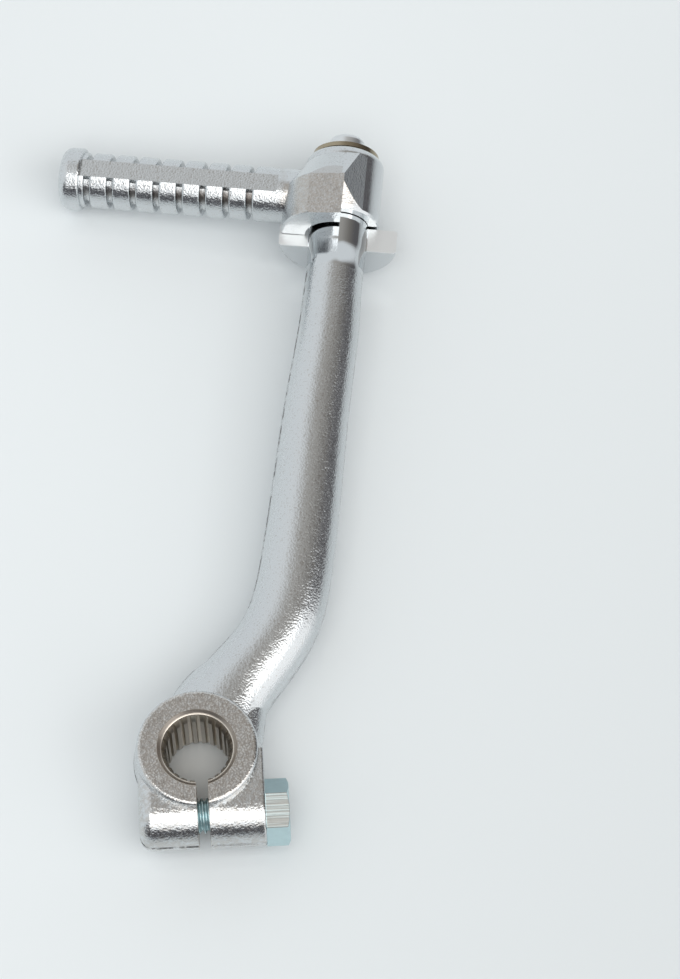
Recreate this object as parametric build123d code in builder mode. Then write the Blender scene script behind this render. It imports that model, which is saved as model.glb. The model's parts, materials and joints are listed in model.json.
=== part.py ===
"""Kick start lever: a forged arm with a splined clamp hub and a folding, ribbed foot pedal."""
import os
from math import acos, atan2, cos, degrees, radians, sin, sqrt, tan

from build123d import *

os.makedirs("parts", exist_ok=True)

# Clamp hub. The origin is the middle of the splined bore, and +Z runs along the bore.
hub_diameter = 29.2
hub_face_diameter = 26.9
hub_height = 19.5
hub_edge_radius = 0.9
spline_teeth = 24
spline_major_diameter = 16.0
spline_minor_diameter = 14.0
spline_groove_width = 1.0
spline_groove_floor = 0.7
spline_overlap = 0.3
bore_chamfer_depth = 0.55
bore_step_width = 0.35
bore_step_depth = 0.2
tooth_lead_depth = 1.9

# Split and pinch bolt. The whole clamp is turned a little about the bore.
clamp_turn = 3.0
slot_width = 2.7
slot_offset = 0.8
bolt_offset = 12.8
lug_radius = 7.4
lug_left = 13.6
lug_right = 14.6
lug_left_edge_radius = 3.0
lug_right_edge_radius = 0.6
bolt_diameter = 8.0
bolt_length = 25.0
bolt_hole_clearance = 0.2
bolt_head_across_flats = 13.0
bolt_head_height = 5.3
bolt_head_turn = 14.5
bolt_head_crown = 12.7
bolt_head_bevel_height = 3.2

# Arm. The pedal's pivot axis leaves the arm's end, raised above the middle of the hub.
pivot_x = 31.3
pivot_y = 130.3
pivot_height = 4.25
pivot_heading = 5.0
root_heading = 24.0
arm_station_count = 14
root_width = 25.0
waist_width = 17.3
tip_width = 13.6
root_flare = 0.24
taper_start = 0.26
root_thickness = 15.6
tip_thickness = 14.1
cheek_thickness = 12.0

# Turned end of the arm, measured along the pivot axis from the face of the pedal's stop dog.
shoulder_diameter = 13.7
shoulder_start = -10.5
shoulder_end = 3.1
flange_radius = 14.0
flange_start = -3.0
flange_thickness = 5.9
flange_edge_radius = 0.8
spigot_diameter = 10.0
spigot_end_diameter = 8.5
spigot_length = 23.3
spigot_end_radius = 1.2

# Foot pedal.
pivot_clearance = 0.15
face_clearance = 0.2
pedal_hub_diameter = 18.8
pedal_hub_length = 17.4
pedal_bevel_angle = 36.0
pedal_bevel_depth = 0.4
pedal_end_radius = 2.2
dog_radius = 13.8
dog_inner_radius = 8.0
dog_length = 10.6
dog_slope_length = 7.4
dog_end_angle = 1.2
dog_span = 91.6
dog_edge_radius = 0.7
dog_flat_distance = 12.6
dog_flat_tilt = 9.0
web_step = 0.2
peg_position = 10.0
peg_droop = 5.0
peg_rake = 3.0
peg_length = 68.2
peg_root_length = 15.0
peg_groove_count = 8
peg_first_groove = 21.5
peg_rib_diameter = 13.2
peg_rib_edge_radius = 0.6
peg_groove_diameter = 10.0
peg_groove_width = 1.3
peg_last_rib_length = 1.1
peg_land_width = 4.5
peg_land_height = 12.4
peg_lip_diameter = 15.0
peg_lip_length = 5.2
peg_lip_edge_radius = 2.3

# Washer and retaining ring on the spigot's end.
washer_diameter = 15.8
washer_thickness = 1.1
ring_diameter = 11.6
ring_thickness = 1.0
ring_groove_depth = 0.5
ring_gap_width = 3.0
seat_clearance = 0.1

# Detent: a ball and spring in a blind hole in the spigot, facing down.
ball_diameter = 4.76
ball_hole_clearance = 0.12
ball_hole_depth = 7.9
detent_position = 13.1
detent_hole_diameter = 3.2
detent_groove_depth = 0.8
detent_groove_width = 4.9
spring_wire_diameter = 0.6
spring_turns = 3.5
spring_clearance = 0.04

# Planes that the pieces share. The pedal turns until its dog meets the other end of the flange.
fold_angle = 180 - dog_span - 2 * dog_end_angle
turn = radians(clamp_turn)
bolt_direction = Vector(cos(turn), sin(turn), 0)
bolt_across = Vector(-sin(turn), cos(turn), 0)
bolt_plane = Plane(origin=bolt_across * -bolt_offset, x_dir=bolt_across, z_dir=bolt_direction)
slot_plane = Plane(origin=bolt_direction * slot_offset, x_dir=bolt_direction, z_dir=(0, 0, 1))

heading = radians(pivot_heading)
pivot_axis = Vector(sin(heading), cos(heading), 0)
pivot_left = Vector(-cos(heading), sin(heading), 0)
pivot_foot = Vector(pivot_x, pivot_y, pivot_height)
pivot_plane = Plane(origin=pivot_foot, x_dir=pivot_left, z_dir=pivot_axis)
pivot_side_plane = Plane(origin=pivot_foot, x_dir=pivot_left, z_dir=pivot_left.cross(pivot_axis))

droop = radians(peg_droop)
rake = radians(peg_rake)
peg_direction = (pivot_left * cos(rake) + pivot_axis * sin(rake)) * cos(droop) - Vector(0, 0, sin(droop))
peg_plane = Plane(
    origin=pivot_foot + pivot_axis * peg_position,
    x_dir=pivot_axis - peg_direction * pivot_axis.dot(peg_direction),
    z_dir=peg_direction,
)
peg_side_plane = Plane(origin=peg_plane.origin, x_dir=peg_plane.x_dir, z_dir=peg_plane.y_dir * -1)
pivot_line = Axis(pivot_foot, pivot_axis)
peg_line = Axis(peg_plane.origin, peg_direction)
dog_start = radians(dog_end_angle)
dog_side = pivot_left * cos(dog_start) + Vector(0, 0, sin(dog_start))
dog_plane = Plane(origin=pivot_foot, x_dir=dog_side, z_dir=dog_side.cross(pivot_axis))
detent_plane = Plane(pivot_foot + pivot_axis * detent_position, x_dir=pivot_axis, z_dir=(0, 0, -1))
fold = radians(fold_angle)
detent_fold_direction = pivot_left * -sin(fold) - Vector(0, 0, cos(fold))
detent_side_plane = Plane(detent_plane.origin, x_dir=pivot_axis, z_dir=detent_fold_direction)

hub_radius = hub_diameter / 2
spline_groove_height = (spline_major_diameter - spline_minor_diameter) / 2 + spline_overlap
spline_groove_middle = spline_major_diameter / 2 - spline_groove_height / 2
spline_flank_angle = degrees(atan2(spline_groove_height, (spline_groove_width - spline_groove_floor) / 2))
spigot_radius = spigot_diameter / 2
pedal_bore_radius = spigot_radius + pivot_clearance
pedal_hub_radius = pedal_hub_diameter / 2
pedal_bevel_length = (dog_radius - pedal_hub_radius + pedal_bevel_depth) / tan(radians(pedal_bevel_angle))
pedal_hub_start = shoulder_end + face_clearance
dog_tilt = radians(dog_flat_tilt)
dog_flat_middle = dog_flat_distance + dog_radius / 2
dog_end = radians(dog_end_angle + dog_span)
web_radius = dog_flat_distance / cos(dog_end - radians(90) + dog_tilt)
web_foot_radius = pedal_hub_radius - web_step
web_end = dog_end + acos(web_foot_radius / web_radius)
web_side = pivot_left * cos(dog_end) + Vector(0, 0, sin(dog_end))
web_plane = Plane(origin=pivot_foot, x_dir=web_side, z_dir=web_side.cross(pivot_axis))
washer_start = pedal_hub_start + pedal_hub_length + seat_clearance
ring_start = washer_start + washer_thickness + seat_clearance
spigot_end = shoulder_end + spigot_length

# The ball at the floor of its track, and the spring between it and the bottom of its hole.
ball_radius = ball_diameter / 2
ball_offset = pedal_bore_radius + detent_groove_depth - ball_hole_clearance - ball_radius
wire_radius = spring_wire_diameter / 2
spring_radius = ball_radius - wire_radius - ball_hole_clearance
spring_start = spigot_radius - ball_hole_depth + wire_radius + spring_clearance
spring_seat = sqrt((ball_radius + wire_radius + spring_clearance) ** 2 - spring_radius**2)
spring_length = ball_offset - spring_seat - spring_start


def arm_station(middle, travel, width, thickness):
    """Place one oval section of the forging: its middle, the way it faces and its half sizes."""
    across = Vector(travel.Y, -travel.X, 0)
    return Plane(origin=middle, x_dir=across, z_dir=travel), width / 2, thickness / 2


def part_way(share_x, share_y, share_z):
    """A point of the arm, as shares of the way from the bore to the turned end."""
    return Vector(share_x * arm_end.X, share_y * arm_end.Y, share_z * arm_end.Z)


def arm_width(share):
    """The arm flares into the hub, keeps one width round the bend and tapers to the turned end."""
    flare = max(0, 1 - share / root_flare) ** 2
    taper = max(0, (share - taper_start) / (1 - taper_start)) ** 1.5
    return waist_width + (root_width - waist_width) * flare - (waist_width - tip_width) * taper


arm_end = pivot_foot + pivot_axis * shoulder_start
root_angle = radians(root_heading)
root_travel = Vector(sin(root_angle), cos(root_angle), 0)
with BuildLine() as arm_line:
    Spline(
        part_way(0, 0, 0),
        part_way(0.224, 0.128, 0),
        part_way(0.566, 0.251, 0.12),
        part_way(0.717, 0.394, 0.32),
        part_way(0.869, 0.726, 0.76),
        arm_end,
        tangents=(root_travel, pivot_axis),
    )
arm_stations = []
for station in range(arm_station_count):
    share = station / (arm_station_count - 1)
    middle = arm_line.line @ share
    travel = arm_line.line % share
    thickness = root_thickness + (tip_thickness - root_thickness) * share
    arm_stations.append(arm_station(middle, travel, arm_width(share), thickness))

# Cheeks that fill the corners between the hub and the arm, as the middle and width of three sections each.
bend_travel = Vector(1, 1, 0).normalized()
left_cheek = [
    arm_station(part_way(-0.18, 0.008, 0), bend_travel, 0.5 * root_width, cheek_thickness),
    arm_station(part_way(0.02, 0.092, 0), bend_travel, 0.66 * root_width, cheek_thickness),
    arm_station(part_way(0.31, 0.187, 0), root_travel, 0.5 * root_width, cheek_thickness),
]
right_cheek = [
    arm_station(part_way(0.23, -0.05, 0), Vector(0, 1, 0), 0.46 * root_width, cheek_thickness),
    arm_station(part_way(0.265, 0.03, 0), Vector(0, 1, 0), 0.5 * root_width, cheek_thickness),
    arm_station(part_way(0.33, 0.12, 0), root_travel, 0.46 * root_width, cheek_thickness),
]

with BuildPart() as lever_arm:
    # Forged body: clamp lugs, round hub and the bent arm.
    with BuildSketch(bolt_plane.offset(-lug_left)):
        Circle(lug_radius)
        with Locations((bolt_offset / 2, 0)):
            Rectangle(bolt_offset, 2 * lug_radius)
    extrude(amount=lug_left + lug_right)
    lug_faces = lever_arm.faces().filter_by(bolt_plane).sort_by(Axis((0, 0, 0), bolt_direction))
    lug_edges = [face.edges().sort_by(Axis((0, 0, 0), bolt_across))[:-1] for face in lug_faces]
    fillet(lug_edges[0], lug_left_edge_radius)
    fillet(lug_edges[-1], lug_right_edge_radius)
    with BuildSketch(Plane.XZ) as hub_outline:
        with BuildLine():
            Polyline(
                (0, -hub_height / 2),
                (hub_face_diameter / 2, -hub_height / 2),
                (hub_radius, 0),
                (hub_face_diameter / 2, hub_height / 2),
                (0, hub_height / 2),
                close=True,
            )
        make_face()
        fillet(hub_outline.vertices().group_by(Axis.X)[-2], hub_edge_radius)
    revolve(axis=Axis.Z)
    for stations in (left_cheek, right_cheek, arm_stations):
        for station_plane, half_width, half_thickness in stations:
            with BuildSketch(station_plane):
                Ellipse(half_width, half_thickness)
        loft()

    # Turned shoulder, lower half of the stop flange and the spigot.
    with BuildSketch(pivot_plane.offset(shoulder_start)):
        Circle(shoulder_diameter / 2)
    extrude(amount=shoulder_end - shoulder_start)
    with BuildSketch(pivot_plane.offset(flange_start)):
        Circle(flange_radius)
        with Locations((0, flange_radius)):
            Rectangle(2 * flange_radius, 2 * flange_radius, mode=Mode.SUBTRACT)
    extrude(amount=flange_thickness)
    flange_arcs = lever_arm.edges().filter_by(GeomType.CIRCLE)
    fillet(flange_arcs.filter_by(lambda arc: abs(arc.radius - flange_radius) < 0.01), flange_edge_radius)
    with BuildSketch(pivot_plane.offset(shoulder_end)):
        Circle(spigot_radius)
    extrude(amount=washer_start - shoulder_end - seat_clearance / 2)
    with BuildSketch(pivot_plane.offset(washer_start - seat_clearance / 2)):
        Circle(spigot_end_diameter / 2)
    extrude(amount=spigot_end - washer_start + seat_clearance / 2)
    end_edge = lever_arm.edges().filter_by(GeomType.CIRCLE).sort_by(Axis(pivot_foot, pivot_axis))[-1]
    fillet(end_edge, radius=spigot_end_radius)

    # Groove for the retaining ring.
    with BuildSketch(pivot_plane.offset(ring_start - seat_clearance / 2)):
        Circle(spigot_end_diameter)
        Circle(spigot_end_diameter / 2 - ring_groove_depth, mode=Mode.SUBTRACT)
    extrude(amount=ring_thickness + seat_clearance, mode=Mode.SUBTRACT)

    # Blind hole for the ball and its spring, from below.
    with BuildSketch(detent_plane.offset(spigot_radius)):
        Circle(ball_diameter / 2 + ball_hole_clearance)
    extrude(amount=-ball_hole_depth, mode=Mode.SUBTRACT)

    # Splined bore. At both ends it has a chamfer, a narrow step and teeth that rise in a steep lead-in.
    with BuildSketch(Plane.XY.offset(-hub_height / 2)):
        Circle(spline_minor_diameter / 2)
        with PolarLocations(spline_groove_middle, spline_teeth):
            Trapezoid(spline_groove_width, spline_groove_height, spline_flank_angle, rotation=-90)
    extrude(amount=hub_height, mode=Mode.SUBTRACT)
    bore_step_radius = spline_major_diameter / 2 + bore_step_width
    bore_step_top = hub_height / 2 - bore_chamfer_depth
    with BuildSketch(Plane.XZ):
        with BuildLine():
            Polyline(
                (0, hub_height / 2),
                (bore_step_radius + bore_chamfer_depth, hub_height / 2),
                (bore_step_radius, bore_step_top),
                (spline_major_diameter / 2, bore_step_top - bore_step_depth),
                (spline_minor_diameter / 2, bore_step_top - bore_step_depth - tooth_lead_depth),
                (0, bore_step_top - bore_step_depth - tooth_lead_depth),
                close=True,
            )
        make_face()
        mirror(about=Plane.XZ)
    revolve(axis=Axis.Z, mode=Mode.SUBTRACT)

    # Split and the bolt's hole.
    with BuildSketch(slot_plane.offset(-hub_height / 2)):
        with Locations((0, -hub_diameter / 2)):
            Rectangle(slot_width, hub_diameter)
    extrude(amount=hub_height, mode=Mode.SUBTRACT)
    with BuildSketch(bolt_plane.offset(-lug_left)):
        Circle(bolt_diameter / 2 + bolt_hole_clearance)
    extrude(amount=lug_left + lug_right, mode=Mode.SUBTRACT)
lever_arm.part.label = "lever_arm"
export_step(lever_arm.part, "parts/lever_arm.step")

with BuildPart() as foot_pedal:
    # Hub, rounded at the washer's end.
    with BuildSketch(pivot_side_plane) as pedal_hub_outline:
        with BuildLine():
            Polyline(
                (0, pedal_hub_start),
                (pedal_hub_radius, pedal_hub_start),
                (pedal_hub_radius, pedal_hub_start + pedal_hub_length),
                (0, pedal_hub_start + pedal_hub_length),
                close=True,
            )
        make_face()
        fillet(pedal_hub_outline.vertices().group_by(Axis.Y)[-1].sort_by(Axis.X)[-1], pedal_end_radius)
    revolve(axis=pivot_line)

    # Quarter-turn stop dog, which falls away in a slope towards the washer.
    with BuildSketch(dog_plane):
        with BuildLine():
            Polyline(
                (dog_inner_radius, 0),
                (dog_radius, 0),
                (dog_radius, dog_length),
                (pedal_hub_radius, dog_length + dog_slope_length),
                (dog_inner_radius, dog_length + dog_slope_length),
                close=True,
            )
        make_face()
    revolve(axis=pivot_line, revolution_arc=dog_span)
    dog_arcs = foot_pedal.edges().filter_by(GeomType.CIRCLE)
    fillet(dog_arcs.filter_by(lambda arc: abs(arc.radius - dog_radius) < 0.01), dog_edge_radius)

    # Flat on top of the dog.
    with BuildSketch(pivot_plane):
        with Locations((dog_flat_middle * sin(dog_tilt), dog_flat_middle * cos(dog_tilt))):
            Rectangle(4 * dog_radius, dog_radius, rotation=-dog_flat_tilt)
    extrude(amount=dog_length + dog_slope_length, mode=Mode.SUBTRACT)

    # Web that leans from the end of the dog down to the hub. It slopes at the back, and one bevel runs
    # round the front of the web and the hub.
    with BuildSketch(pivot_plane.offset(pedal_hub_start)):
        with BuildLine():
            Polyline(
                (0, 0),
                (web_radius * cos(dog_end), web_radius * sin(dog_end)),
                (web_foot_radius * cos(web_end), web_foot_radius * sin(web_end)),
                close=True,
            )
        make_face()
    extrude(amount=dog_length + dog_slope_length - pedal_hub_start)
    with BuildSketch(Plane(pivot_foot, x_dir=pivot_axis, z_dir=pivot_left * -1)):
        with BuildLine():
            Polyline(
                (dog_length, web_radius),
                (dog_length + dog_slope_length, pedal_hub_radius + web_step),
                (dog_length + dog_slope_length, web_radius),
                close=True,
            )
        make_face()
    extrude(amount=pedal_hub_diameter, mode=Mode.SUBTRACT)
    with BuildSketch(web_plane):
        with BuildLine():
            Polyline(
                (pedal_hub_radius - pedal_bevel_depth, pedal_hub_start),
                (dog_radius, pedal_hub_start),
                (dog_radius, pedal_hub_start + pedal_bevel_length),
                close=True,
            )
        make_face()
    revolve(axis=pivot_line, revolution_arc=360 - dog_span, mode=Mode.SUBTRACT)

    # Ribbed peg with an end lip, and a plain land along its top and bottom.
    peg_last_groove = peg_length - peg_lip_length - peg_last_rib_length - peg_groove_width / 2
    peg_groove_pitch = (peg_last_groove - peg_first_groove) / (peg_groove_count - 1)
    peg_grooves = [peg_first_groove + peg_groove_pitch * i for i in range(peg_groove_count)]
    with BuildSketch(peg_side_plane) as peg_outline:
        with BuildLine():
            Polyline(
                (0, 0),
                (peg_rib_diameter / 2, 0),
                (peg_rib_diameter / 2, peg_length - peg_lip_length),
                (peg_lip_diameter / 2, peg_length - peg_lip_length),
                (peg_lip_diameter / 2, peg_length),
                (0, peg_length),
                close=True,
            )
        make_face()
        with Locations(*[(peg_rib_diameter / 2, along) for along in peg_grooves]):
            Rectangle(peg_rib_diameter - peg_groove_diameter, peg_groove_width, mode=Mode.SUBTRACT)
        fillet(peg_outline.vertices().group_by(Axis.X)[-2].sort_by(Axis.Y)[1:-1], peg_rib_edge_radius)
        fillet(peg_outline.vertices().group_by(Axis.X)[-1].sort_by(Axis.Y)[0], peg_rib_edge_radius)
        fillet(peg_outline.vertices().group_by(Axis.X)[-1].sort_by(Axis.Y)[-1], peg_lip_edge_radius)
    revolve(axis=peg_line)
    with BuildSketch(peg_plane.offset(peg_root_length)):
        Rectangle(peg_land_width, peg_land_height)
    extrude(amount=peg_length - peg_lip_length - peg_root_length)
    with BuildSketch(peg_plane.offset(peg_root_length)):
        with Locations((0, peg_land_height), (0, -peg_land_height)):
            Rectangle(peg_rib_diameter, peg_land_height)
    extrude(amount=peg_length - peg_lip_length - peg_root_length, mode=Mode.SUBTRACT)

    # Bore with the track that the ball rides in, and the two holes that it drops into.
    with BuildSketch(pivot_plane.offset(pedal_hub_start)):
        Circle(pedal_bore_radius)
    extrude(amount=pedal_hub_length, mode=Mode.SUBTRACT)
    with BuildSketch(pivot_plane.offset(detent_position - detent_groove_width / 2)):
        Circle(pedal_bore_radius + detent_groove_depth)
    extrude(amount=detent_groove_width, mode=Mode.SUBTRACT)
    for hole_plane in (detent_plane, detent_side_plane):
        with BuildSketch(hole_plane):
            Circle(detent_hole_diameter / 2)
        extrude(amount=dog_radius, mode=Mode.SUBTRACT)
foot_pedal.part.label = "foot_pedal"
export_step(foot_pedal.part, "parts/foot_pedal.step")

with BuildPart() as pinch_bolt:
    with BuildSketch(bolt_plane.offset(lug_right)):
        RegularPolygon(bolt_head_across_flats / 2, 6, major_radius=False, rotation=bolt_head_turn)
    extrude(amount=bolt_head_height)
    with BuildSketch(Plane(bolt_plane.origin, x_dir=bolt_plane.x_dir, z_dir=bolt_plane.y_dir * -1)):
        with BuildLine():
            Polyline(
                (0, lug_right),
                (bolt_head_across_flats, lug_right),
                (bolt_head_across_flats, lug_right + bolt_head_height - bolt_head_bevel_height),
                (bolt_head_crown / 2, lug_right + bolt_head_height),
                (0, lug_right + bolt_head_height),
                close=True,
            )
        make_face()
    revolve(axis=Axis(bolt_plane.origin, bolt_direction), mode=Mode.INTERSECT)
    with BuildSketch(bolt_plane.offset(lug_right)):
        Circle(bolt_diameter / 2)
    extrude(amount=-bolt_length)
pinch_bolt.part.label = "pinch_bolt"
export_step(pinch_bolt.part, "parts/pinch_bolt.step")

with BuildPart() as thrust_washer:
    with BuildSketch(pivot_plane.offset(washer_start)):
        Circle(washer_diameter / 2)
        Circle(spigot_end_diameter / 2 + pivot_clearance, mode=Mode.SUBTRACT)
    extrude(amount=washer_thickness)
thrust_washer.part.label = "thrust_washer"
export_step(thrust_washer.part, "parts/thrust_washer.step")

with BuildPart() as retaining_ring:
    with BuildSketch(pivot_plane.offset(ring_start)):
        Circle(ring_diameter / 2)
        Circle(spigot_end_diameter / 2 - ring_groove_depth + seat_clearance, mode=Mode.SUBTRACT)
        with Locations((0, -ring_diameter / 2)):
            Rectangle(ring_gap_width, ring_diameter, mode=Mode.SUBTRACT)
    extrude(amount=ring_thickness)
retaining_ring.part.label = "retaining_ring"
export_step(retaining_ring.part, "parts/retaining_ring.step")

with BuildPart() as detent_ball:
    with Locations(detent_plane.offset(ball_offset)):
        Sphere(ball_diameter / 2)
detent_ball.part.label = "detent_ball"
export_step(detent_ball.part, "parts/detent_ball.step")

with BuildPart() as detent_spring:
    spring_foot = detent_plane.offset(spring_start)
    with BuildLine():
        coil = Helix(
            spring_length / spring_turns,
            spring_length,
            spring_radius,
            center=spring_foot.origin,
            direction=spring_foot.z_dir,
        )
    with BuildSketch(Plane(coil @ 0, z_dir=coil % 0)):
        Circle(spring_wire_diameter / 2)
    sweep()
detent_spring.part.label = "detent_spring"
export_step(detent_spring.part, "parts/detent_spring.step")
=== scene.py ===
"""Kick start lever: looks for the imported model, laid out as an add-on."""
import json
from math import cos, pi, radians, sin

import bmesh
import bpy
from bpy.props import FloatProperty, FloatVectorProperty, PointerProperty
from mathutils import Matrix, Vector


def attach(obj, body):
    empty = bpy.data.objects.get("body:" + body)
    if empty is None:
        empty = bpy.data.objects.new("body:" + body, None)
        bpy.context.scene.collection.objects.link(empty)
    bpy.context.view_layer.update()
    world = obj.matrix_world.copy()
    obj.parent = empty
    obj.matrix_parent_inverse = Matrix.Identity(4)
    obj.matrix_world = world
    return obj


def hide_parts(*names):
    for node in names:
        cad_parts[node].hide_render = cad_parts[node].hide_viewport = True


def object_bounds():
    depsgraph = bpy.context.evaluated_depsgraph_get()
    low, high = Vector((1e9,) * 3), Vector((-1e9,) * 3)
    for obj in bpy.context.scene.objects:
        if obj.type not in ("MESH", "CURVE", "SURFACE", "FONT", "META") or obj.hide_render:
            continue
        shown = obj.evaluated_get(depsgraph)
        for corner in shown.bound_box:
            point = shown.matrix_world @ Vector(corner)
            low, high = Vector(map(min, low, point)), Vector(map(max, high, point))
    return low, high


bl_info = {
    "name": "Kick Start Lever",
    "version": (1, 0, 0),
    "blender": (4, 5, 0),
    "location": "View3D > Sidebar > Kick Lever",
    "description": "Dresses the packed kick start lever and sets up its studio",
    "category": "Object",
}

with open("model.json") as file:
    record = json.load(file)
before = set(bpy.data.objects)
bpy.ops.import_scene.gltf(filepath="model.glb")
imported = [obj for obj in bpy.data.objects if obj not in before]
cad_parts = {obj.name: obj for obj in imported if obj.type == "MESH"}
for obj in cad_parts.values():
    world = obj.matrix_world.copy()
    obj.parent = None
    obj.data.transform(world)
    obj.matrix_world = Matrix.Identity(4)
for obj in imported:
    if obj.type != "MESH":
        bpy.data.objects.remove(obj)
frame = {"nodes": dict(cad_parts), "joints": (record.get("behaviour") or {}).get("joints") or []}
CAD_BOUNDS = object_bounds()
FLOOR_HEIGHT = CAD_BOUNDS[0][2]

# Places and distances on the part are in millimetres. The scene is in metres.
MM_PER_METRE = 1000
ORIGIN = Vector((0, 0, 0))
SIDE = Vector((1, 0, 0))
AHEAD = Vector((0, 1, 0))
UP = Vector((0, 0, 1))

# The pivot comes from the frame. The other places repeat values of the part's source.
HINGE = next(joint for joint in frame["joints"] if joint["name"] == "pedal_fold")
PIVOT = Vector(HINGE["pos_m"]) * MM_PER_METRE
PIVOT_AXIS = Vector(HINGE["axis"]).normalized()
PIVOT_LEFT = UP.cross(PIVOT_AXIS)
HUB_TOP = 9.75
CLAMP_TURN = radians(3.0)
BOLT_AXIS = Vector((cos(CLAMP_TURN), sin(CLAMP_TURN), 0))
BOLT_ACROSS = Vector((-sin(CLAMP_TURN), cos(CLAMP_TURN), 0))
BOLT_OFFSET = -12.8
BOLT_MIDDLE = BOLT_ACROSS * BOLT_OFFSET
SLOT_OFFSET = 0.8
SLOT_MIDDLE = BOLT_AXIS * SLOT_OFFSET
PEG_STATION = 10.0
PEG_ROOT = PIVOT + PIVOT_AXIS * PEG_STATION
PEG_RAKE = radians(3.0)
PEG_DROOP = radians(5.0)
PEG_LEVEL = PIVOT_LEFT * cos(PEG_RAKE) + PIVOT_AXIS * sin(PEG_RAKE)
PEG_AXIS = PEG_LEVEL * cos(PEG_DROOP) - Vector((0, 0, sin(PEG_DROOP)))
PEG_UP = PIVOT_AXIS.cross(PEG_AXIS).normalized()

# A line along the arm in plan, near enough to tell its left side from its right.
ARM_MIDDLE = Vector((7, 0, 0))
ARM_ACROSS = Vector((1, -0.19, 0)).normalized()


def colour(title, words, value):
    """A colour setting."""
    return FloatVectorProperty(
        name=title, description=words, subtype="COLOR", size=3, min=0, max=1, default=value
    )


def share(title, words, value):
    """A setting from 0 to 1."""
    return FloatProperty(name=title, description=words, subtype="FACTOR", min=0, max=1, default=value)


def length_mm(title, words, value):
    """A length setting, in millimetres."""
    return FloatProperty(name=title, description=words, min=0, default=value)


class ChromeSettings(bpy.types.PropertyGroup):
    """Chrome plate over the forged skin."""

    plate: colour("Plate", "Colour of the chrome plate", (0.63, 0.655, 0.67))
    # hollow_shade: painted shade in the skin's hollows, where the grain is low.
    hollow_shade: colour("Hollows", "Colour that has settled in the hollows of the skin", (0.53, 0.53, 0.525))
    bare: colour("Bare steel", "Colour of the thinly plated steel in the bore", (0.50, 0.455, 0.395))
    # dull_and_shade: painted shade and painted reflection on the hub's ring and on the pedal's upward faces,
    # also the blotches on the clamp.
    dull_and_shade: colour("Dull faces", "Colour of the flat faces, where the plate is thin", (0.50, 0.475, 0.445))
    # grime_and_shade: dirt in the stains, and painted shade on the bore's rim and in the peg's grooves.
    grime_and_shade: colour("Grime", "Colour of the dirt in grooves and stains", (0.21, 0.185, 0.165))
    # satin_and_highlight: satin of the ground stop faces, painted light on their tops and on the spigot's
    # end, and painted glints on the ring.
    satin_and_highlight: colour("Satin plate", "Colour of the ground stop faces and the bright specks", (0.88, 0.90, 0.905))
    flash: colour("Flash line", "Colour of the torn line where the dies met", (0.085, 0.08, 0.08))
    skin_roughness: share("Skin roughness", "Roughness of the forged skin", 0.22)
    turned_roughness: share("Turned roughness", "Roughness of the turned end", 0.07)
    grain: length_mm("Grain", "Size of the fine grain, in millimetres", 0.42)
    grain_depth: length_mm("Grain depth", "Depth of the fine grain, in millimetres", 0.026)
    dent: length_mm("Dents", "Size of the shallow dents, in millimetres", 1.5)
    dent_depth: length_mm("Dent depth", "Depth of the shallow dents, in millimetres", 0.02)
    flash_level: length_mm("Flash level", "Height of the dies' line above the middle, in millimetres", 0.7)


class FastenerSettings(bpy.types.PropertyGroup):
    """Bolt, washer, ring and detent."""

    zinc: colour("Zinc", "Colour of the bolt's zinc plate", (0.59, 0.755, 0.785))
    # top_flat_zinc: the darker colour streaked over the topmost flat of the bolt's head.
    top_flat_zinc: colour("Worn zinc", "Colour of the worn flat on top of the bolt's head", (0.285, 0.29, 0.28))
    yellow_zinc: colour("Yellow zinc", "Colour of the washer", (0.40, 0.345, 0.25))
    spring_steel: colour("Spring steel", "Colour of the retaining ring and the spring", (0.42, 0.4, 0.38))
    head_width: length_mm("Head", "Width of the bolt's head across its flats, in millimetres", 13.0)
    head_height: length_mm("Head height", "Height of the bolt's head, in millimetres", 5.3)
    head_seat: length_mm("Seat", "Distance from the bore's middle to the bolt's seat, in millimetres", 14.6)
    bolt_length: length_mm("Bolt length", "Length of the bolt under its head, in millimetres", 25.0)
    thread_diameter: length_mm("Thread", "Outside diameter of the thread, in millimetres", 8.0)
    thread_pitch: length_mm("Pitch", "Pitch of the thread, in millimetres", 1.25)
    head_turn: FloatProperty(
        name="Head turn",
        description="How far a flat of the head is turned",
        subtype="ANGLE",
        default=radians(44.5),
    )
    ball_steel: colour("Ball steel", "Colour of the detent ball", (0.66, 0.66, 0.67))


class StudioSettings(bpy.types.PropertyGroup):
    """Floor, light and camera."""

    floor: colour("Floor", "Colour of the floor", (0.825, 0.872, 0.893))
    floor_roughness: share("Floor roughness", "Roughness of the floor's glaze", 0.14)
    key_power: FloatProperty(
        name="Key", description="Power of the large soft light", unit="POWER", default=12.5
    )
    world_strength: FloatProperty(
        name="Room", description="Strength of the room's light", min=0, default=1.0
    )
    focal_length: FloatProperty(
        name="Lens", description="Focal length", subtype="DISTANCE_CAMERA", default=130.4
    )
    elevation: FloatProperty(
        name="Elevation",
        description="How far the camera stands above the floor's level",
        subtype="ANGLE",
        default=radians(66.3),
    )
    camera_place: FloatVectorProperty(
        name="Camera",
        description="Where the camera stands",
        subtype="TRANSLATION",
        unit="LENGTH",
        default=(0.03175, -0.26399, 0.75334),
    )


class KickLeverSettings(bpy.types.PropertyGroup):
    """All settings of the lever."""

    chrome: PointerProperty(type=ChromeSettings)
    fasteners: PointerProperty(type=FastenerSettings)
    studio: PointerProperty(type=StudioSettings)


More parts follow.
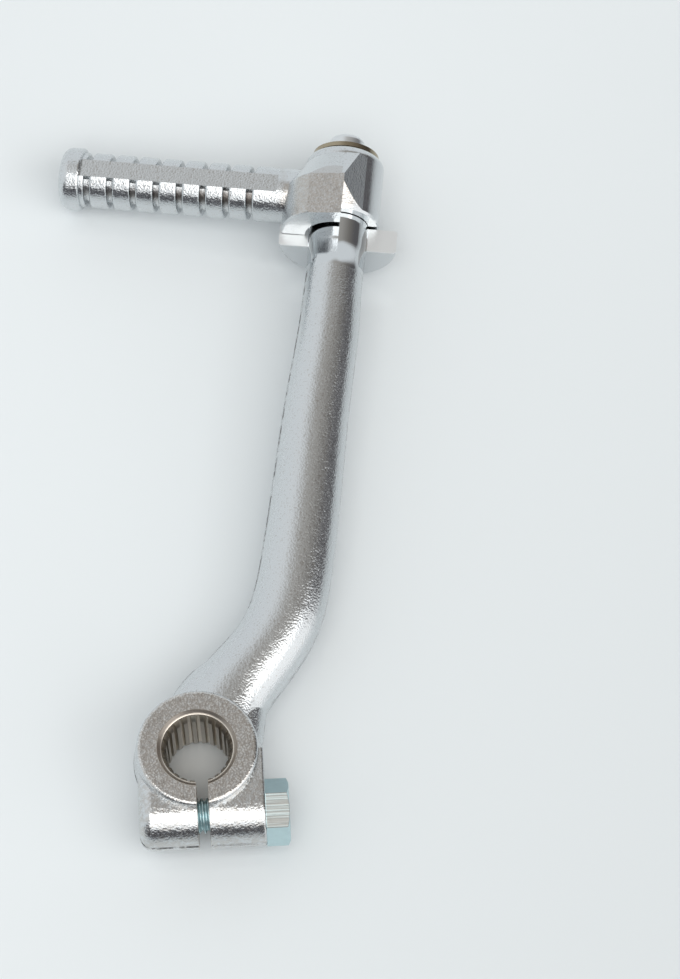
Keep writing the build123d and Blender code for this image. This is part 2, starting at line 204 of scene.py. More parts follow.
class Wire:
    """A node's output that can be used in plain sums."""

    def __init__(self, finish, socket):
        self.finish = finish
        self.socket = socket

    def math(self, operation, first, second):
        """Add a Math node on two values or wires."""
        return self.finish.node("ShaderNodeMath", {"operation": operation}, {0: first, 1: second})

    def __add__(self, other):
        return self.math("ADD", self, other)

    def __radd__(self, other):
        return self.math("ADD", other, self)

    def __sub__(self, other):
        return self.math("SUBTRACT", self, other)

    def __rsub__(self, other):
        return self.math("SUBTRACT", other, self)

    def __mul__(self, other):
        return self.math("MULTIPLY", self, other)

    def __rmul__(self, other):
        return self.math("MULTIPLY", other, self)

    def __abs__(self):
        return self.math("ABSOLUTE", self, 0.0)


class Finish:
    """A node tree that is put together node by node."""

    def __init__(self, tree):
        self.tree = tree
        tree.nodes.clear()

    def node(self, kind, settings=None, sockets=None, out=0):
        """Add a node of this type, set it up, fill or link its sockets and return one output."""
        node = self.tree.nodes.new(kind)
        for key, value in (settings or {}).items():
            if key == "stops":
                ramp = node.color_ramp
                while len(ramp.elements) < len(value):
                    ramp.elements.new(1.0)
                for element, (place, tint) in zip(ramp.elements, value):
                    element.position = place
                    element.color = tint
            else:
                setattr(node, key, value)
        for key, value in (sockets or {}).items():
            if isinstance(value, Wire):
                self.tree.links.new(value.socket, node.inputs[key])
            else:
                node.inputs[key].default_value = value
        return Wire(self, node.outputs[out]) if node.outputs else None

    def place_mm(self):
        """Object coordinates in millimetres."""
        place = self.node("ShaderNodeTexCoord", out="Object")
        sockets = {0: place, "Scale": MM_PER_METRE}
        return self.node("ShaderNodeVectorMath", {"operation": "SCALE"}, sockets)

    def vector(self, operation, place, fixed, out=0):
        """Add a Vector Math node on a place and a fixed vector."""
        return self.node("ShaderNodeVectorMath", {"operation": operation}, {0: place, 1: tuple(fixed)}, out)

    def along(self, place, origin, direction):
        """Distance of a place from an origin, measured along a direction."""
        offset = self.vector("SUBTRACT", place, origin)
        return self.vector("DOT_PRODUCT", offset, direction, "Value")

    def off_line(self, place, origin, direction):
        """Distance of a place from a line."""
        offset = self.vector("SUBTRACT", place, origin)
        across = self.vector("CROSS_PRODUCT", offset, direction)
        return self.node("ShaderNodeVectorMath", {"operation": "LENGTH"}, {0: across}, "Value")

    def step(self, value, edge):
        """0 up to an edge's first value, 1 from its second, smooth between them."""
        start, end = edge
        return self.node(
            "ShaderNodeMapRange",
            {"interpolation_type": "SMOOTHSTEP"},
            {"Value": value, "From Min": start, "From Max": end},
        )

    def noise(self, place, size, detail=2.0, roughness=0.5):
        """Noise from 0 to 1 whose blobs are about this size in millimetres."""
        sockets = {"Vector": place, "Scale": 1.0 / size, "Detail": detail, "Roughness": roughness}
        return self.node("ShaderNodeTexNoise", {}, sockets)

    def mix(self, mask, first, second):
        """The first colour where the mask is 0, the second where it is 1."""
        # Inputs 6 and 7 and output 2 are the node's colours.
        tints = [tint if isinstance(tint, Wire) else (*tint, 1.0) for tint in (first, second)]
        return self.node("ShaderNodeMix", {"data_type": "RGBA"}, {0: mask, 6: tints[0], 7: tints[1]}, 2)

    def metal(self, tint, roughness, height):
        """Finish with a metal surface whose bump height is in millimetres."""
        bump = {"Height": height, "Distance": 1 / MM_PER_METRE, "Strength": 1.0}
        normal = self.node("ShaderNodeBump", {}, bump)
        sockets = {"Base Color": tint, "Roughness": roughness, "Normal": normal, "Metallic": 1.0}
        surface = self.node("ShaderNodeBsdfPrincipled", {}, sockets)
        self.node("ShaderNodeOutputMaterial", {}, {"Surface": surface})


def new_finish(name):
    """A new material and the finish that fills its node tree."""
    material = bpy.data.materials.new(name)
    material.use_nodes = True
    return material, Finish(material.node_tree)


def dress(node, material):
    """Give a carried-over solid its finish."""
    mesh = frame["nodes"][node].data
    mesh.materials.clear()
    mesh.materials.append(material)


def shade(tint, factor):
    """A colour made darker or lighter by a factor."""
    return [part * factor for part in tint]


# An edge is a pair: the value at which a mask is 0, and the value at which it is 1.
# A noise is its size in millimetres, its detail and its roughness.
NOISE_MEAN = 0.5
HOLLOW_SHADE_EDGE = (0.4, 0.15)
GRAIN_GLINT = 0.2
MOTTLE_EDGE = (0.7, 0.35)
MOTTLE_DETAIL = 1.0
MOTTLE_SHARE = 0.45
STAIN_NOISE = (2.2, 3.0, 0.65)
STAIN_EDGE = (0.5, 0.25)
STAIN_SHARE = 0.35


def forged_skin(finish, place, chrome, coarse=0.0):
    """Height, painted shade in the hollows, grain and roughness of the blasted skin, with deeper dents where
    it is coarse.
    """
    dents = finish.noise(place, chrome.dent)
    grain = finish.noise(place, chrome.grain, detail=0.0)
    dented = (dents - NOISE_MEAN) * ((1 + coarse) * chrome.dent_depth * 2)
    height = dented + (grain - NOISE_MEAN) * (chrome.grain_depth * 2)
    shaded_hollows = finish.step(grain, HOLLOW_SHADE_EDGE)
    roughness = chrome.skin_roughness + (grain - NOISE_MEAN) * GRAIN_GLINT
    return height, shaded_hollows, grain, roughness


def mottled(finish, place, size):
    """Blotches of about this size in millimetres."""
    return finish.step(finish.noise(place, size, MOTTLE_DETAIL), MOTTLE_EDGE)


def shade_and_stain_face(finish, chrome, tint, area, least, mottle, stain):
    """Paint shade over an area, at least this much and more in its blotches, and leave dirt in its stains."""
    tint = finish.mix(area * (least + mottle * MOTTLE_SHARE), tint, chrome.dull_and_shade)
    return finish.mix(area * finish.step(stain, STAIN_EDGE) * STAIN_SHARE, tint, chrome.grime_and_shade)


# Edges on the arm, from the bore towards the pedal.
CLAMP_START = (-3.0, -9.0)
SLOT_START = (-6.0, -7.0)
FLASH_RISE = (10.0, 125.0)
LEFT_START = (8.0, 30.0)

# Edges along the pivot's axis, from the pivot.
SHOULDER_START = (-10.7, -10.2)
FLARE = (-3.4, -10.6)
FLANGE_START = (-3.3, -3.1)
FLASH_END = (-10.4, -11.2)
SPIGOT_TIP = (18.0, 19.0)

# Edges off the pivot's axis.
SHOULDER_WALL = (7.15, 6.9)
FLANGE_WALL = (6.95, 7.2)

# Edges off the bore's axis.
TOOTH_GROOVE = (7.2, 7.8)
BORE_WALL = (9.05, 8.95)
RING_RIM = (14.0, 13.0)

# Edges above the middle of the bore. The hub's rim and ring have them below it too.
STOP_HEIGHT = (PIVOT[2] - 0.5, PIVOT[2] - 0.2)
BORE_RIM = (HUB_TOP - 0.72, HUB_TOP - 0.6)
RING_HEIGHT = (HUB_TOP - 0.3, HUB_TOP - 0.1)

# Edges off the middle of the slot, and across the arm.
SLOT_WALL = (1.5, 1.4)
LEFT_SIDE = (2.0, -2.0)

# The torn line stands higher on the left, and is darker there.
LEFT_LIFT = 1.7
RIGHT_TEAR = 0.35
TEAR_NOISE = (3.0, 3.0, 0.7)
TEAR_SWING = 1.1
TEAR_WIDTH = (0.6, 0.3)
TEAR_BREAKS = (0.42, 0.56)
TEAR_LEVEL = 0.3
TEAR_DEPTH = 0.35

# Turning marks for each millimetre along the spigot and off its axis, and their size and depth.
MARKS_ALONG = 6.0
MARKS_OFF_AXIS = 0.1
MARK_SIZE = 1.0
MARK_DEPTH = 0.004

# How much of each finish, painted shade and painted light shows in its area.
CLAMP_COARSE = 0.5
CLAMP_MOTTLE = 0.55
ARM_MOTTLE_SIZE = 0.9
RING_PAINTED_SHADE = 0.45
GLINT_EDGE = (0.45, 0.75)
GLINT_SHARE = 0.42
STOP_PAINTED_LIGHT = 0.9
SPIGOT_PAINTED_LIGHT = 0.35
TOOTH_PAINTED_SHADE = 0.9
GROOVE_PAINTED_LIGHT = 1.5
BORE_BARE = 0.75
RIM_PAINTED_SHADE = 0.75
SAWN_BARE = 0.5
FLASH_SHARE = 0.85


class KICKLEVER_OT_lever_arm(bpy.types.Operator):
    """Plate the forged arm: blasted skin, bright turned end, bare bore with painted light in its grooves and
    painted shade on its rim, and the line where the dies met
    """

    bl_idname = "kick_lever.lever_arm"
    bl_label = "Lever Arm"

    def execute(self, context):
        chrome = context.scene.kick_lever.chrome
        material, finish = new_finish("forged_chrome_arm")
        place = finish.place_mm()
        ahead = finish.along(place, ORIGIN, AHEAD)
        upright = finish.along(place, ORIGIN, UP)
        off_bore = finish.off_line(place, ORIGIN, UP)
        off_slot = abs(finish.along(place, SLOT_MIDDLE, BOLT_AXIS))
        station = finish.along(place, PIVOT, PIVOT_AXIS)
        off_pivot = finish.off_line(place, PIVOT, PIVOT_AXIS)

        clamp = finish.step(ahead, CLAMP_START)
        turned = finish.step(station, SHOULDER_START) * finish.step(off_pivot, SHOULDER_WALL)
        ground = finish.step(station, FLANGE_START) * finish.step(off_pivot, FLANGE_WALL)
        stop = ground * finish.step(upright, STOP_HEIGHT)
        spigot_end = finish.step(station, SPIGOT_TIP)
        bore = finish.step(off_bore, BORE_WALL)
        rim = bore * finish.step(abs(upright), BORE_RIM)
        sawn = finish.step(off_slot, SLOT_WALL) * finish.step(ahead, SLOT_START)
        ring = finish.step(abs(upright), RING_HEIGHT) * finish.step(off_bore, RING_RIM)

        # Machined areas lose all or most of the skin's relief.
        plain = 1 - turned
        for area, smoothed in ((bore, 0.75), (sawn, 0.6), (ground, 0.8)):
            plain = plain * (1 - area * smoothed)

        # The dies met near mid-height, and the trimmed flash left a torn line there.
        left = finish.step(finish.along(place, ARM_MIDDLE, ARM_ACROSS), LEFT_SIDE)
        level = upright - chrome.flash_level - finish.step(ahead, FLASH_RISE) * PIVOT[2]
        level = level - finish.step(ahead, LEFT_START) * left * LEFT_LIFT
        tear = finish.noise(place, *TEAR_NOISE)
        gap = abs(level + (tear - NOISE_MEAN) * TEAR_SWING)
        torn = finish.step(gap, TEAR_WIDTH) * finish.step(station, FLASH_END)
        torn = torn * (1 - bore) * (1 - sawn)
        dark = torn * finish.step(tear, TEAR_BREAKS) * (left * (1 - RIGHT_TEAR) + RIGHT_TEAR)

        # Turning marks run round the spigot. A bump along the shoulder tips its light as a flare would.
        height, shaded_hollows, grain, roughness = forged_skin(finish, place, chrome, clamp * CLAMP_COARSE)
        turning = {0: station * MARKS_ALONG, 1: off_pivot * MARKS_OFF_AXIS}
        marks = finish.noise(finish.node("ShaderNodeCombineXYZ", {}, turning), MARK_SIZE)
        relief = height * plain + (marks - NOISE_MEAN) * turned * MARK_DEPTH
        relief = relief + torn * (tear - TEAR_LEVEL) * TEAR_DEPTH + finish.step(station, FLARE)

        # Painted shade darkens the skin's hollows, where the grain is low.
        tint = finish.mix(shaded_hollows * plain, chrome.plate, chrome.hollow_shade)
        stain = finish.noise(place, *STAIN_NOISE)
        mottle = mottled(finish, place, ARM_MOTTLE_SIZE)
        tint = finish.mix(clamp * (1 - ring) * mottle * CLAMP_MOTTLE, tint, chrome.dull_and_shade)
        # Painted shade dulls the hub's ring faces, more in blotches, with dirt in stains.
        tint = shade_and_stain_face(finish, chrome, tint, ring, RING_PAINTED_SHADE, mottle, stain)
        # Painted glints: bright specks on the ring faces where the grain is high.
        tint = finish.mix(ring * finish.step(grain, GLINT_EDGE) * GLINT_SHARE, tint, chrome.satin_and_highlight)
        # Painted light brightens the tops of the ground stop faces and the spigot's end.
        tint = finish.mix(stop * STOP_PAINTED_LIGHT + spigot_end * SPIGOT_PAINTED_LIGHT, tint, chrome.satin_and_highlight)
        # Painted light in the spline's grooves and painted shade on its tooth tips soften the shade the
        # grooves get.
        grooves = finish.step(off_bore, TOOTH_GROOVE)
        bare = finish.mix(grooves, shade(chrome.bare, TOOTH_PAINTED_SHADE), shade(chrome.bare, GROOVE_PAINTED_LIGHT))
        tint = finish.mix(bore * (BORE_BARE + stain * (1 - BORE_BARE)), tint, bare)
        # Painted shade darkens the bore's rim and its chamfer.
        tint = finish.mix(rim * RIM_PAINTED_SHADE, tint, chrome.grime_and_shade)
        tint = finish.mix(sawn * SAWN_BARE, tint, chrome.bare)
        tint = finish.mix(dark * FLASH_SHARE, tint, chrome.flash)

        roughness = plain * roughness + turned * chrome.turned_roughness
        for area, rougher in (
            (bore, 0.3),
            (sawn, 0.2),
            (dark, 0.3),
            (ground, 0.1),
            (stop, 0.3),
            (spigot_end, 0.22),
        ):
            roughness = roughness + area * rougher
        finish.metal(tint, roughness, relief)
        dress("lever_arm", material)
        return {"FINISHED"}


# Edges on the pedal, off the pivot's axis and then along it.
PEDAL_BORE = (6.2, 6.0)
HUB_WALL = (9.7, 9.5)
HUB_REACH = (16.0, 14.0)
HUB_END = (10.4, 10.8)

# Edges by the way a face points: how far to the right, and how far up.
LEANING_FACE = (0.15, 0.3)
FLAT_FACE = (0.5, 0.72)

# Edges on the peg: in front of its axis, above it and off it.
PEG_FRONT = (0.0, -2.0)
PEG_HIGH = (0.5, 3.2)
PEG_GROOVE = (6.15, 5.7)

# How much of each finish and painted shade shows in its area.
GROOVE_PAINTED_SHADE = 0.8
GROOVE_LEAST = 0.1
PEDAL_MOTTLE_SIZE = 0.6
DOG_PAINTED_SHADE = 0.55
PEDAL_BARE = 0.7
SMOOTH_GLOSS = 0.06
BORED_ROUGHNESS = 0.15
GROOVE_ROUGHNESS = 0.15
SMOOTH_RELIEF = 0.75


class KICKLEVER_OT_foot_pedal(bpy.types.Operator):
    """Plate the forged pedal: smooth hub, painted shade on its dog's upward flat, and dirt with painted shade
    in the peg's grooves
    """

    bl_idname = "kick_lever.foot_pedal"
    bl_label = "Foot Pedal"

    def execute(self, context):
        chrome = context.scene.kick_lever.chrome
        material, finish = new_finish("forged_chrome_pedal")
        place = finish.place_mm()
        facing = finish.node("ShaderNodeTexCoord", out="Normal")
        station = finish.along(place, PIVOT, PIVOT_AXIS)
        off_pivot = finish.off_line(place, PIVOT, PIVOT_AXIS)

        bored = finish.step(off_pivot, PEDAL_BORE)
        near = finish.step(off_pivot, HUB_REACH)
        leaning = finish.step(finish.along(facing, ORIGIN, SIDE), LEANING_FACE)
        flat = finish.step(finish.along(facing, ORIGIN, UP), FLAT_FACE)
        forged = (1 - finish.step(off_pivot, HUB_WALL)) * (1 - near * finish.step(station, HUB_END))
        smooth = 1 - forged * (1 - near * leaning)
        # Painted shade dulls the dog's faces that point up, away from the smooth hub.
        dull_and_shade = flat * (1 - smooth) * near
        front = finish.step(finish.along(place, PEG_ROOT, PIVOT_AXIS), PEG_FRONT)
        high = finish.step(finish.along(place, PEG_ROOT, PEG_UP), PEG_HIGH)
        # Painted shade darkens the peg's grooves in front of and above its axis; a little dirt lies in all of
        # them.
        grooves = finish.step(finish.off_line(place, PEG_ROOT, PEG_AXIS), PEG_GROOVE) * (1 - near)
        dirt_and_shade = grooves * (front * high * GROOVE_PAINTED_SHADE + GROOVE_LEAST)

        height, shaded_hollows, _, roughness = forged_skin(finish, place, chrome)
        stain = finish.noise(place, *STAIN_NOISE)
        mottle = mottled(finish, place, PEDAL_MOTTLE_SIZE)
        # Painted shade darkens the skin's hollows, where the grain is low.
        tint = finish.mix(shaded_hollows, chrome.plate, chrome.hollow_shade)
        tint = shade_and_stain_face(finish, chrome, tint, dull_and_shade, DOG_PAINTED_SHADE, mottle, stain)
        tint = finish.mix(dirt_and_shade, tint, chrome.grime_and_shade)
        tint = finish.mix(bored * PEDAL_BARE, tint, chrome.bare)
        roughness = roughness - smooth * SMOOTH_GLOSS + bored * BORED_ROUGHNESS + dirt_and_shade * GROOVE_ROUGHNESS
        finish.metal(tint, roughness, height * (1 - smooth * SMOOTH_RELIEF))
        dress("foot_pedal", material)
        return {"FINISHED"}


MERGE_DISTANCE = 0.001


def cut_off(shape, middle, facing):
    """Cut away what lies past a plane and close the cut."""
    geom = shape.verts[:] + shape.edges[:] + shape.faces[:]
    cut = bmesh.ops.bisect_plane(shape, geom=geom, plane_co=middle, plane_no=facing, clear_outer=True)
    rim = [item for item in cut["geom_cut"] if isinstance(item, bmesh.types.BMEdge)]
    bmesh.ops.edgeloop_fill(shape, edges=rim)


def spun(outline, turns, steps, rise=0.0):
    """Spin an outline of radius and height about Z, rising by this much on each turn."""
    shape = bmesh.new()
    verts = [shape.verts.new((radius, 0, height)) for radius, height in outline]
    edges = [shape.edges.new(pair) for pair in zip(verts, verts[1:])]
    bmesh.ops.spin(
        shape,
        geom=verts + edges,
        cent=ORIGIN,
        axis=UP,
        dvec=(0, 0, rise / steps),
        angle=2 * pi * turns,
        steps=steps * turns,
        use_merge=not rise,
    )
    bmesh.ops.remove_doubles(shape, verts=shape.verts[:], dist=MERGE_DISTANCE)
    return shape


# The head: steps round it, how far its crown is set in, and its bevel's start as a share of its height.
HEAD_STEPS = 96
HEAD_CROWN_INSET = 0.15
HEAD_BEVEL_START = 0.4
FLAT_COUNT = 6
SHARP_ANGLE = radians(28)

# The thread's profile, as shares of its pitch.
THREAD_DEPTH = 0.61
ROOT_END = 0.12
CREST_START = 0.49
CREST_END = 0.63

# Steps in a turn of the thread, turns to cut off at each end, and how far it runs into the head.
THREAD_STEPS = 40
SPARE_TURNS = 2
HEAD_OVERLAP = 0.5

# The drawn lines are long along the bolt and fine across it.
DRAWN_ALONG = 0.03
DRAWN_ACROSS = 2.6
DRAWN_NOISE = (1.0, 2.0, 0.6)
DRAWN_EDGE = (0.4, 0.6)
DRAWN_DEPTH = 0.04
TOP_FLAT_DEPTH = 0.06
TOP_FLAT_LEAST = 0.7

# The plate's cloudy tint, and the edges of the topmost flat: off the bolt's axis and above its seat.
ZINC_CLOUD = (1.6, 3.0, 0.6)
CLOUD_SHARE = 0.6
ZINC_SHADE = 0.8
ZINC_ROUGHNESS = 0.32
CLOUD_ROUGHNESS = 0.16
HEAD_FLAT = (6.2, 6.4)
HEAD_EDGE = 0.2


class KICKLEVER_OT_pinch_bolt(bpy.types.Operator):
    """Make the zinc plated pinch bolt: a bevelled hexagon head and a rolled thread"""

    bl_idname = "kick_lever.pinch_bolt"
    bl_label = "Pinch Bolt"

    def execute(self, context):
        fasteners = context.scene.kick_lever.fasteners
        mesh = bpy.data.meshes.new("hexagon_pinch_bolt")
        thread = self.thread(fasteners)
        thread.to_mesh(mesh)
        thread.free()
        shape = self.head(fasteners)
        shape.from_mesh(mesh)
        bmesh.ops.recalc_face_normals(shape, faces=shape.faces[:])
        place = Matrix((BOLT_ACROSS, UP, BOLT_AXIS)).transposed().to_4x4()
        place.translation = BOLT_MIDDLE
        to_metres = Matrix.Scale(1 / MM_PER_METRE, 4)
        bmesh.ops.transform(shape, matrix=to_metres @ place, verts=shape.verts[:])
        for face in shape.faces:
            face.smooth = True
        shape.to_mesh(mesh)
        shape.free()
        mesh.set_sharp_from_angle(angle=SHARP_ANGLE)
        bolt = bpy.data.objects.new("hexagon_pinch_bolt", mesh)
        context.scene.collection.objects.link(bolt)
        mesh.materials.append(self.zinc(fasteners))
        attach(bolt, "lever")
        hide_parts("pinch_bolt")
        return {"FINISHED"}

    def head(self, fasteners):
        """Turn a bevelled disc and mill six flats on it."""
        seat, height = fasteners.head_seat, fasteners.head_height
        crown = fasteners.head_width / 2 - HEAD_CROWN_INSET
        outline = (
            (0, seat),
            (fasteners.head_width, seat),
            (fasteners.head_width, seat + HEAD_BEVEL_START * height),
            (crown, seat + height),
            (0, seat + height),
        )
        shape = spun(outline, 1, HEAD_STEPS)
        for flat in range(FLAT_COUNT):
            turn = fasteners.head_turn + flat * 2 * pi / FLAT_COUNT
            facing = Vector((cos(turn), sin(turn), 0))
            cut_off(shape, facing * fasteners.head_width / 2, facing)
        return shape

    def thread(self, fasteners):
        """Roll a thread whose turns join, and cut it square at both ends."""
        pitch, crest = fasteners.thread_pitch, fasteners.thread_diameter / 2
        root = crest - THREAD_DEPTH * pitch
        tip = fasteners.head_seat - fasteners.bolt_length
        turns = int(fasteners.bolt_length / pitch) + 2 * SPARE_TURNS
        foot = tip - SPARE_TURNS * pitch
        outline = (
            (root, foot),
            (root, foot + ROOT_END * pitch),
            (crest, foot + CREST_START * pitch),
            (crest, foot + CREST_END * pitch),
            (root, foot + pitch),
        )
        shape = spun(outline, turns, THREAD_STEPS, pitch)
        cut_off(shape, (0, 0, tip), -UP)
        cut_off(shape, (0, 0, fasteners.head_seat + HEAD_OVERLAP), UP)
        return shape

    def zinc(self, fasteners):
        """Thin bluish plate over drawn lines that run along the bolt, darker and streaked on the topmost
        flat.
        """
        material, finish = new_finish("bright_zinc")
        place = finish.place_mm()
        along = finish.along(place, BOLT_MIDDLE, BOLT_AXIS)
        across = finish.along(place, BOLT_MIDDLE, BOLT_ACROSS)
        upright = finish.along(place, BOLT_MIDDLE, UP)
        stretched = {0: along * DRAWN_ALONG, 1: across * DRAWN_ACROSS, 2: upright * DRAWN_ACROSS}
        lines = finish.noise(finish.node("ShaderNodeCombineXYZ", {}, stretched), *DRAWN_NOISE)
        cloud = finish.noise(place, *ZINC_CLOUD)
        head = finish.step(along, (fasteners.head_seat, fasteners.head_seat + HEAD_EDGE))
        turn = fasteners.head_turn + 2 * pi / FLAT_COUNT
        topmost = finish.step(across * cos(turn) + upright * sin(turn), HEAD_FLAT) * head
        uneven = topmost * (TOP_FLAT_LEAST + finish.step(lines, DRAWN_EDGE) * (1 - TOP_FLAT_LEAST))
        tint = finish.mix(cloud * CLOUD_SHARE, fasteners.zinc, shade(fasteners.zinc, ZINC_SHADE))
        tint = finish.mix(uneven, tint, fasteners.top_flat_zinc)
        height = (lines - NOISE_MEAN) * (DRAWN_DEPTH + topmost * TOP_FLAT_DEPTH)
        finish.metal(tint, ZINC_ROUGHNESS + cloud * CLOUD_ROUGHNESS, height)
        return material


PLATE_CLOUD = (1.2, 3.0, 0.6)
PLATE_SHADE = 0.72
WEAR_SIZE = 0.4
WEAR_DEPTH = 0.008
PLATE_ROUGHNESS = 0.1
WEAR_ROUGHNESS = 0.16


class KICKLEVER_OT_washer_and_ring(bpy.types.Operator):
    """Finish the thrust washer and the retaining ring"""

    bl_idname = "kick_lever.washer_and_ring"
    bl_label = "Washer and Ring"

    def execute(self, context):
        fasteners = context.scene.kick_lever.fasteners
        for node, name, tint in (
            ("thrust_washer", "yellow_zinc", fasteners.yellow_zinc),
            ("retaining_ring", "spring_steel_ring", fasteners.spring_steel),
        ):
            material, finish = new_finish(name)
            place = finish.place_mm()
            cloud = finish.noise(place, *PLATE_CLOUD)
            uneven = finish.noise(place, WEAR_SIZE)
            clouded = finish.mix(cloud * CLOUD_SHARE, tint, shade(tint, PLATE_SHADE))
            height = (uneven - NOISE_MEAN) * WEAR_DEPTH
            finish.metal(clouded, PLATE_ROUGHNESS + uneven * WEAR_ROUGHNESS, height)
            dress(node, material)
        return {"FINISHED"}


OIL_SIZE = 1.0
OIL_SHARE = 0.4
OIL_SHADE = 0.7
OIL_ROUGHNESS = 0.06
OIL_DEPTH = 0.004
BALL_ROUGHNESS = 0.06
WIRE_ROUGHNESS = 0.28


class KICKLEVER_OT_detent(bpy.types.Operator):
    """Finish the detent ball and its spring"""

    bl_idname = "kick_lever.detent"
    bl_label = "Detent Ball and Spring"

    def execute(self, context):
        fasteners = context.scene.kick_lever.fasteners
        for node, name, tint, roughness in (
            ("detent_ball", "polished_ball", fasteners.ball_steel, BALL_ROUGHNESS),
            ("detent_spring", "drawn_wire", fasteners.spring_steel, WIRE_ROUGHNESS),
        ):
            material, finish = new_finish(name)
            oil = finish.noise(finish.place_mm(), OIL_SIZE)
            oiled = finish.mix(oil * OIL_SHARE, tint, shade(tint, OIL_SHADE))
            finish.metal(oiled, roughness + oil * OIL_ROUGHNESS, (oil - NOISE_MEAN) * OIL_DEPTH)
            dress(node, material)
        return {"FINISHED"}


# The soft light hangs level over the front right of the part, in metres.
LIGHT_PLACE = Vector((0.46, -0.57, 1.2))
LIGHT_AIM = Vector((0.46, -0.57, 0.0))
LIGHT_SIZE = (1.9, 1.05)
LIGHT_TINT = (1, 0.985, 0.965)
SENSOR_WIDTH = 36
CLIP_START = 0.01

# Painted shade: the floor's colour darkens towards the front right.
FLOOR_REACH = 3.0
FLOOR_WAY = (0.79, -0.61, 0)
FLOOR_FALL = (-0.17, 0.25)
FLOOR_SHADE = 0.76
GLAZE_IOR = 1.45

# The room from the left to the right, and the patches in it. Their edges are parts of a unit direction.
ROOM_STOPS = (
    (0.0, (0.86, 0.90, 0.92, 1)),
    (0.28, (0.88, 0.895, 0.905, 1)),
    (0.5, (0.46, 0.44, 0.415, 1)),
    (0.64, (0.40, 0.38, 0.355, 1)),
    (0.84, (0.22, 0.205, 0.19, 1)),
    (0.94, (0.13, 0.125, 0.13, 1)),
)
WALL_AHEAD = (0.5, 0.66)
WALL_HEIGHT = (0.82, 0.7)
WALL_TINT = (0.84, 0.87, 0.89)
DARK_AHEAD = (-0.35, -0.72)
DARK_TINT = (0.10, 0.10, 0.11)
REFLECTOR_AHEAD = (-0.6, -0.68)
REFLECTOR_HEIGHT = (0.46, 0.54)
REFLECTOR_TINT = (1.4, 1.4, 1.4)
WINDOW_SIDE = (0.42, 0.52)
WINDOW_AHEAD = (0.1, -0.02)
WINDOW_HEIGHT = (0.8, 0.7)
WINDOW_TINT = (1.3, 1.3, 1.3)


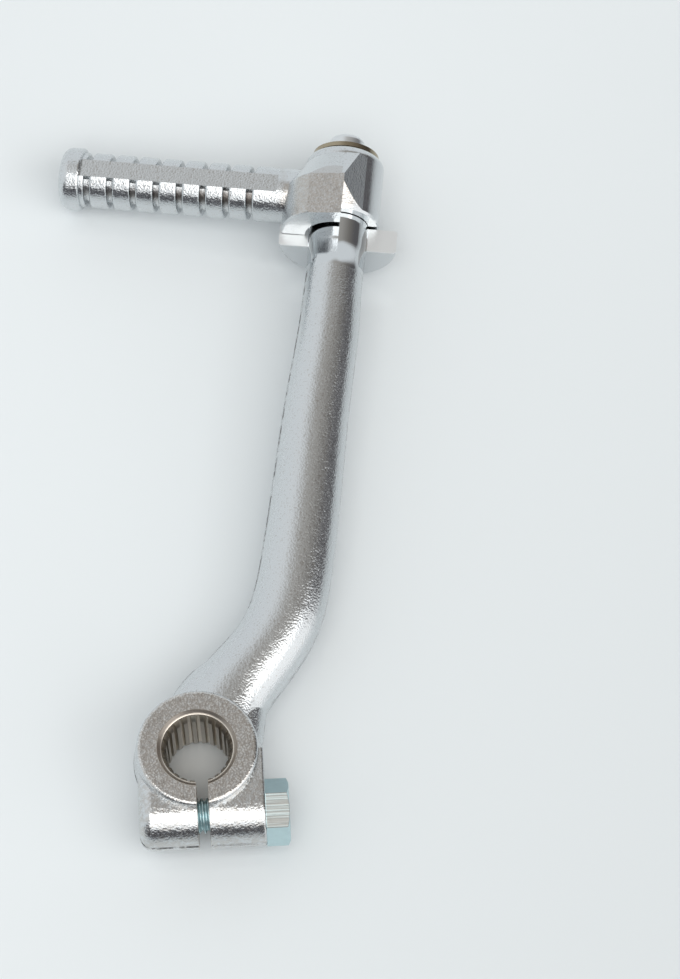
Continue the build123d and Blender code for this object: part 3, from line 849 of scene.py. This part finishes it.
class KICKLEVER_OT_stage(bpy.types.Operator):
    """Set up the floor, the room's light, the large soft light and the camera"""

    bl_idname = "kick_lever.stage"
    bl_label = "Stage"

    def execute(self, context):
        studio = context.scene.kick_lever.studio
        self.floor(context.scene, studio)
        self.room(context.scene, studio)
        self.soft_light(context.scene, studio)
        self.camera(context.scene, studio)
        context.scene.view_settings.view_transform = "Standard"
        return {"FINISHED"}

    def floor(self, scene, studio):
        """Lay a pale glazed floor under the part, with painted shade towards the front right."""
        shape = bmesh.new()
        bmesh.ops.create_grid(shape, x_segments=1, y_segments=1, size=FLOOR_REACH)
        bmesh.ops.translate(shape, verts=shape.verts, vec=(0, 0, FLOOR_HEIGHT))
        mesh = bpy.data.meshes.new("floor")
        shape.to_mesh(mesh)
        shape.free()
        floor = bpy.data.objects.new("floor", mesh)
        scene.collection.objects.link(floor)
        material, finish = new_finish("pale_glazed_floor")
        place = finish.node("ShaderNodeTexCoord", out="Object")
        fall = finish.step(finish.along(place, ORIGIN, FLOOR_WAY), FLOOR_FALL)
        tint = finish.mix(fall, studio.floor, shade(studio.floor, FLOOR_SHADE))
        sockets = {"Base Color": tint, "Roughness": studio.floor_roughness, "IOR": GLAZE_IOR}
        surface = finish.node("ShaderNodeBsdfPrincipled", {}, sockets)
        finish.node("ShaderNodeOutputMaterial", {}, {"Surface": surface})
        mesh.materials.append(material)

    def room(self, scene, studio):
        """Light the room: pale on the left, dark on the right and in front, with bright patches."""
        world = bpy.data.worlds.new("room")
        world.use_nodes = True
        scene.world = world
        finish = Finish(world.node_tree)
        way = finish.node("ShaderNodeTexCoord", out="Generated")
        side = finish.along(way, ORIGIN, SIDE)
        ahead = finish.along(way, ORIGIN, AHEAD)
        height = finish.along(way, ORIGIN, UP)
        # From 0 at the far left to 1 at the far right.
        across = side * 0.5 + 0.5
        tint = finish.node("ShaderNodeValToRGB", {"stops": ROOM_STOPS}, {0: across})
        wall = finish.step(ahead, WALL_AHEAD) * finish.step(height, WALL_HEIGHT)
        tint = finish.mix(wall, tint, WALL_TINT)
        tint = finish.mix(finish.step(ahead, DARK_AHEAD), tint, DARK_TINT)
        reflector = finish.step(ahead, REFLECTOR_AHEAD) * finish.step(height, REFLECTOR_HEIGHT)
        tint = finish.mix(reflector, tint, REFLECTOR_TINT)
        window = finish.step(side, WINDOW_SIDE) * finish.step(ahead, WINDOW_AHEAD)
        window = window * finish.step(height, WINDOW_HEIGHT)
        tint = finish.mix(window, tint, WINDOW_TINT)
        back = finish.node("ShaderNodeBackground", {}, {"Color": tint, "Strength": studio.world_strength})
        finish.node("ShaderNodeOutputWorld", {}, {"Surface": back})

    def soft_light(self, scene, studio):
        """Hang the large soft light."""
        lamp = bpy.data.lights.new("soft_light", "AREA")
        lamp.shape = "RECTANGLE"
        lamp.size, lamp.size_y = LIGHT_SIZE
        lamp.energy = studio.key_power
        lamp.color = LIGHT_TINT
        holder = bpy.data.objects.new("soft_light", lamp)
        holder.location = LIGHT_PLACE
        holder.rotation_euler = (LIGHT_AIM - LIGHT_PLACE).to_track_quat("-Z", "Y").to_euler()
        scene.collection.objects.link(holder)

    def camera(self, scene, studio):
        """Stand the camera in front of the part, looking down at it."""
        camera = bpy.data.cameras.new("camera")
        camera.lens = studio.focal_length
        camera.sensor_width = SENSOR_WIDTH
        camera.clip_start = CLIP_START
        holder = bpy.data.objects.new("camera", camera)
        holder.location = studio.camera_place
        holder.rotation_euler = (pi / 2 - studio.elevation, 0, 0)
        scene.collection.objects.link(holder)
        scene.camera = holder


class KICKLEVER_PT_panel(bpy.types.Panel):
    """Settings and steps of the lever"""

    bl_idname = "KICKLEVER_PT_panel"
    bl_label = "Kick Lever"
    bl_space_type = "VIEW_3D"
    bl_region_type = "UI"
    bl_category = "Kick Lever"

    def draw(self, context):
        settings = context.scene.kick_lever
        for title, group in (
            ("Chrome", settings.chrome),
            ("Fasteners", settings.fasteners),
            ("Studio", settings.studio),
        ):
            box = self.layout.box()
            box.label(text=title)
            for key in group.__annotations__:
                box.prop(group, key)
        for step in STEPS:
            self.layout.operator(step.bl_idname)


STEPS = (
    KICKLEVER_OT_lever_arm,
    KICKLEVER_OT_foot_pedal,
    KICKLEVER_OT_pinch_bolt,
    KICKLEVER_OT_washer_and_ring,
    KICKLEVER_OT_detent,
    KICKLEVER_OT_stage,
)
CLASSES = (ChromeSettings, FastenerSettings, StudioSettings, KickLeverSettings, *STEPS, KICKLEVER_PT_panel)


def register():
    for item in CLASSES:
        bpy.utils.register_class(item)
    bpy.types.Scene.kick_lever = PointerProperty(type=KickLeverSettings)


def unregister():
    del bpy.types.Scene.kick_lever
    for item in reversed(CLASSES):
        bpy.utils.unregister_class(item)


def main():
    register()
    bpy.ops.kick_lever.lever_arm()
    bpy.ops.kick_lever.foot_pedal()
    bpy.ops.kick_lever.pinch_bolt()
    bpy.ops.kick_lever.washer_and_ring()
    bpy.ops.kick_lever.detent()
    bpy.ops.kick_lever.stage()


if __name__ == "__main__":
    main()
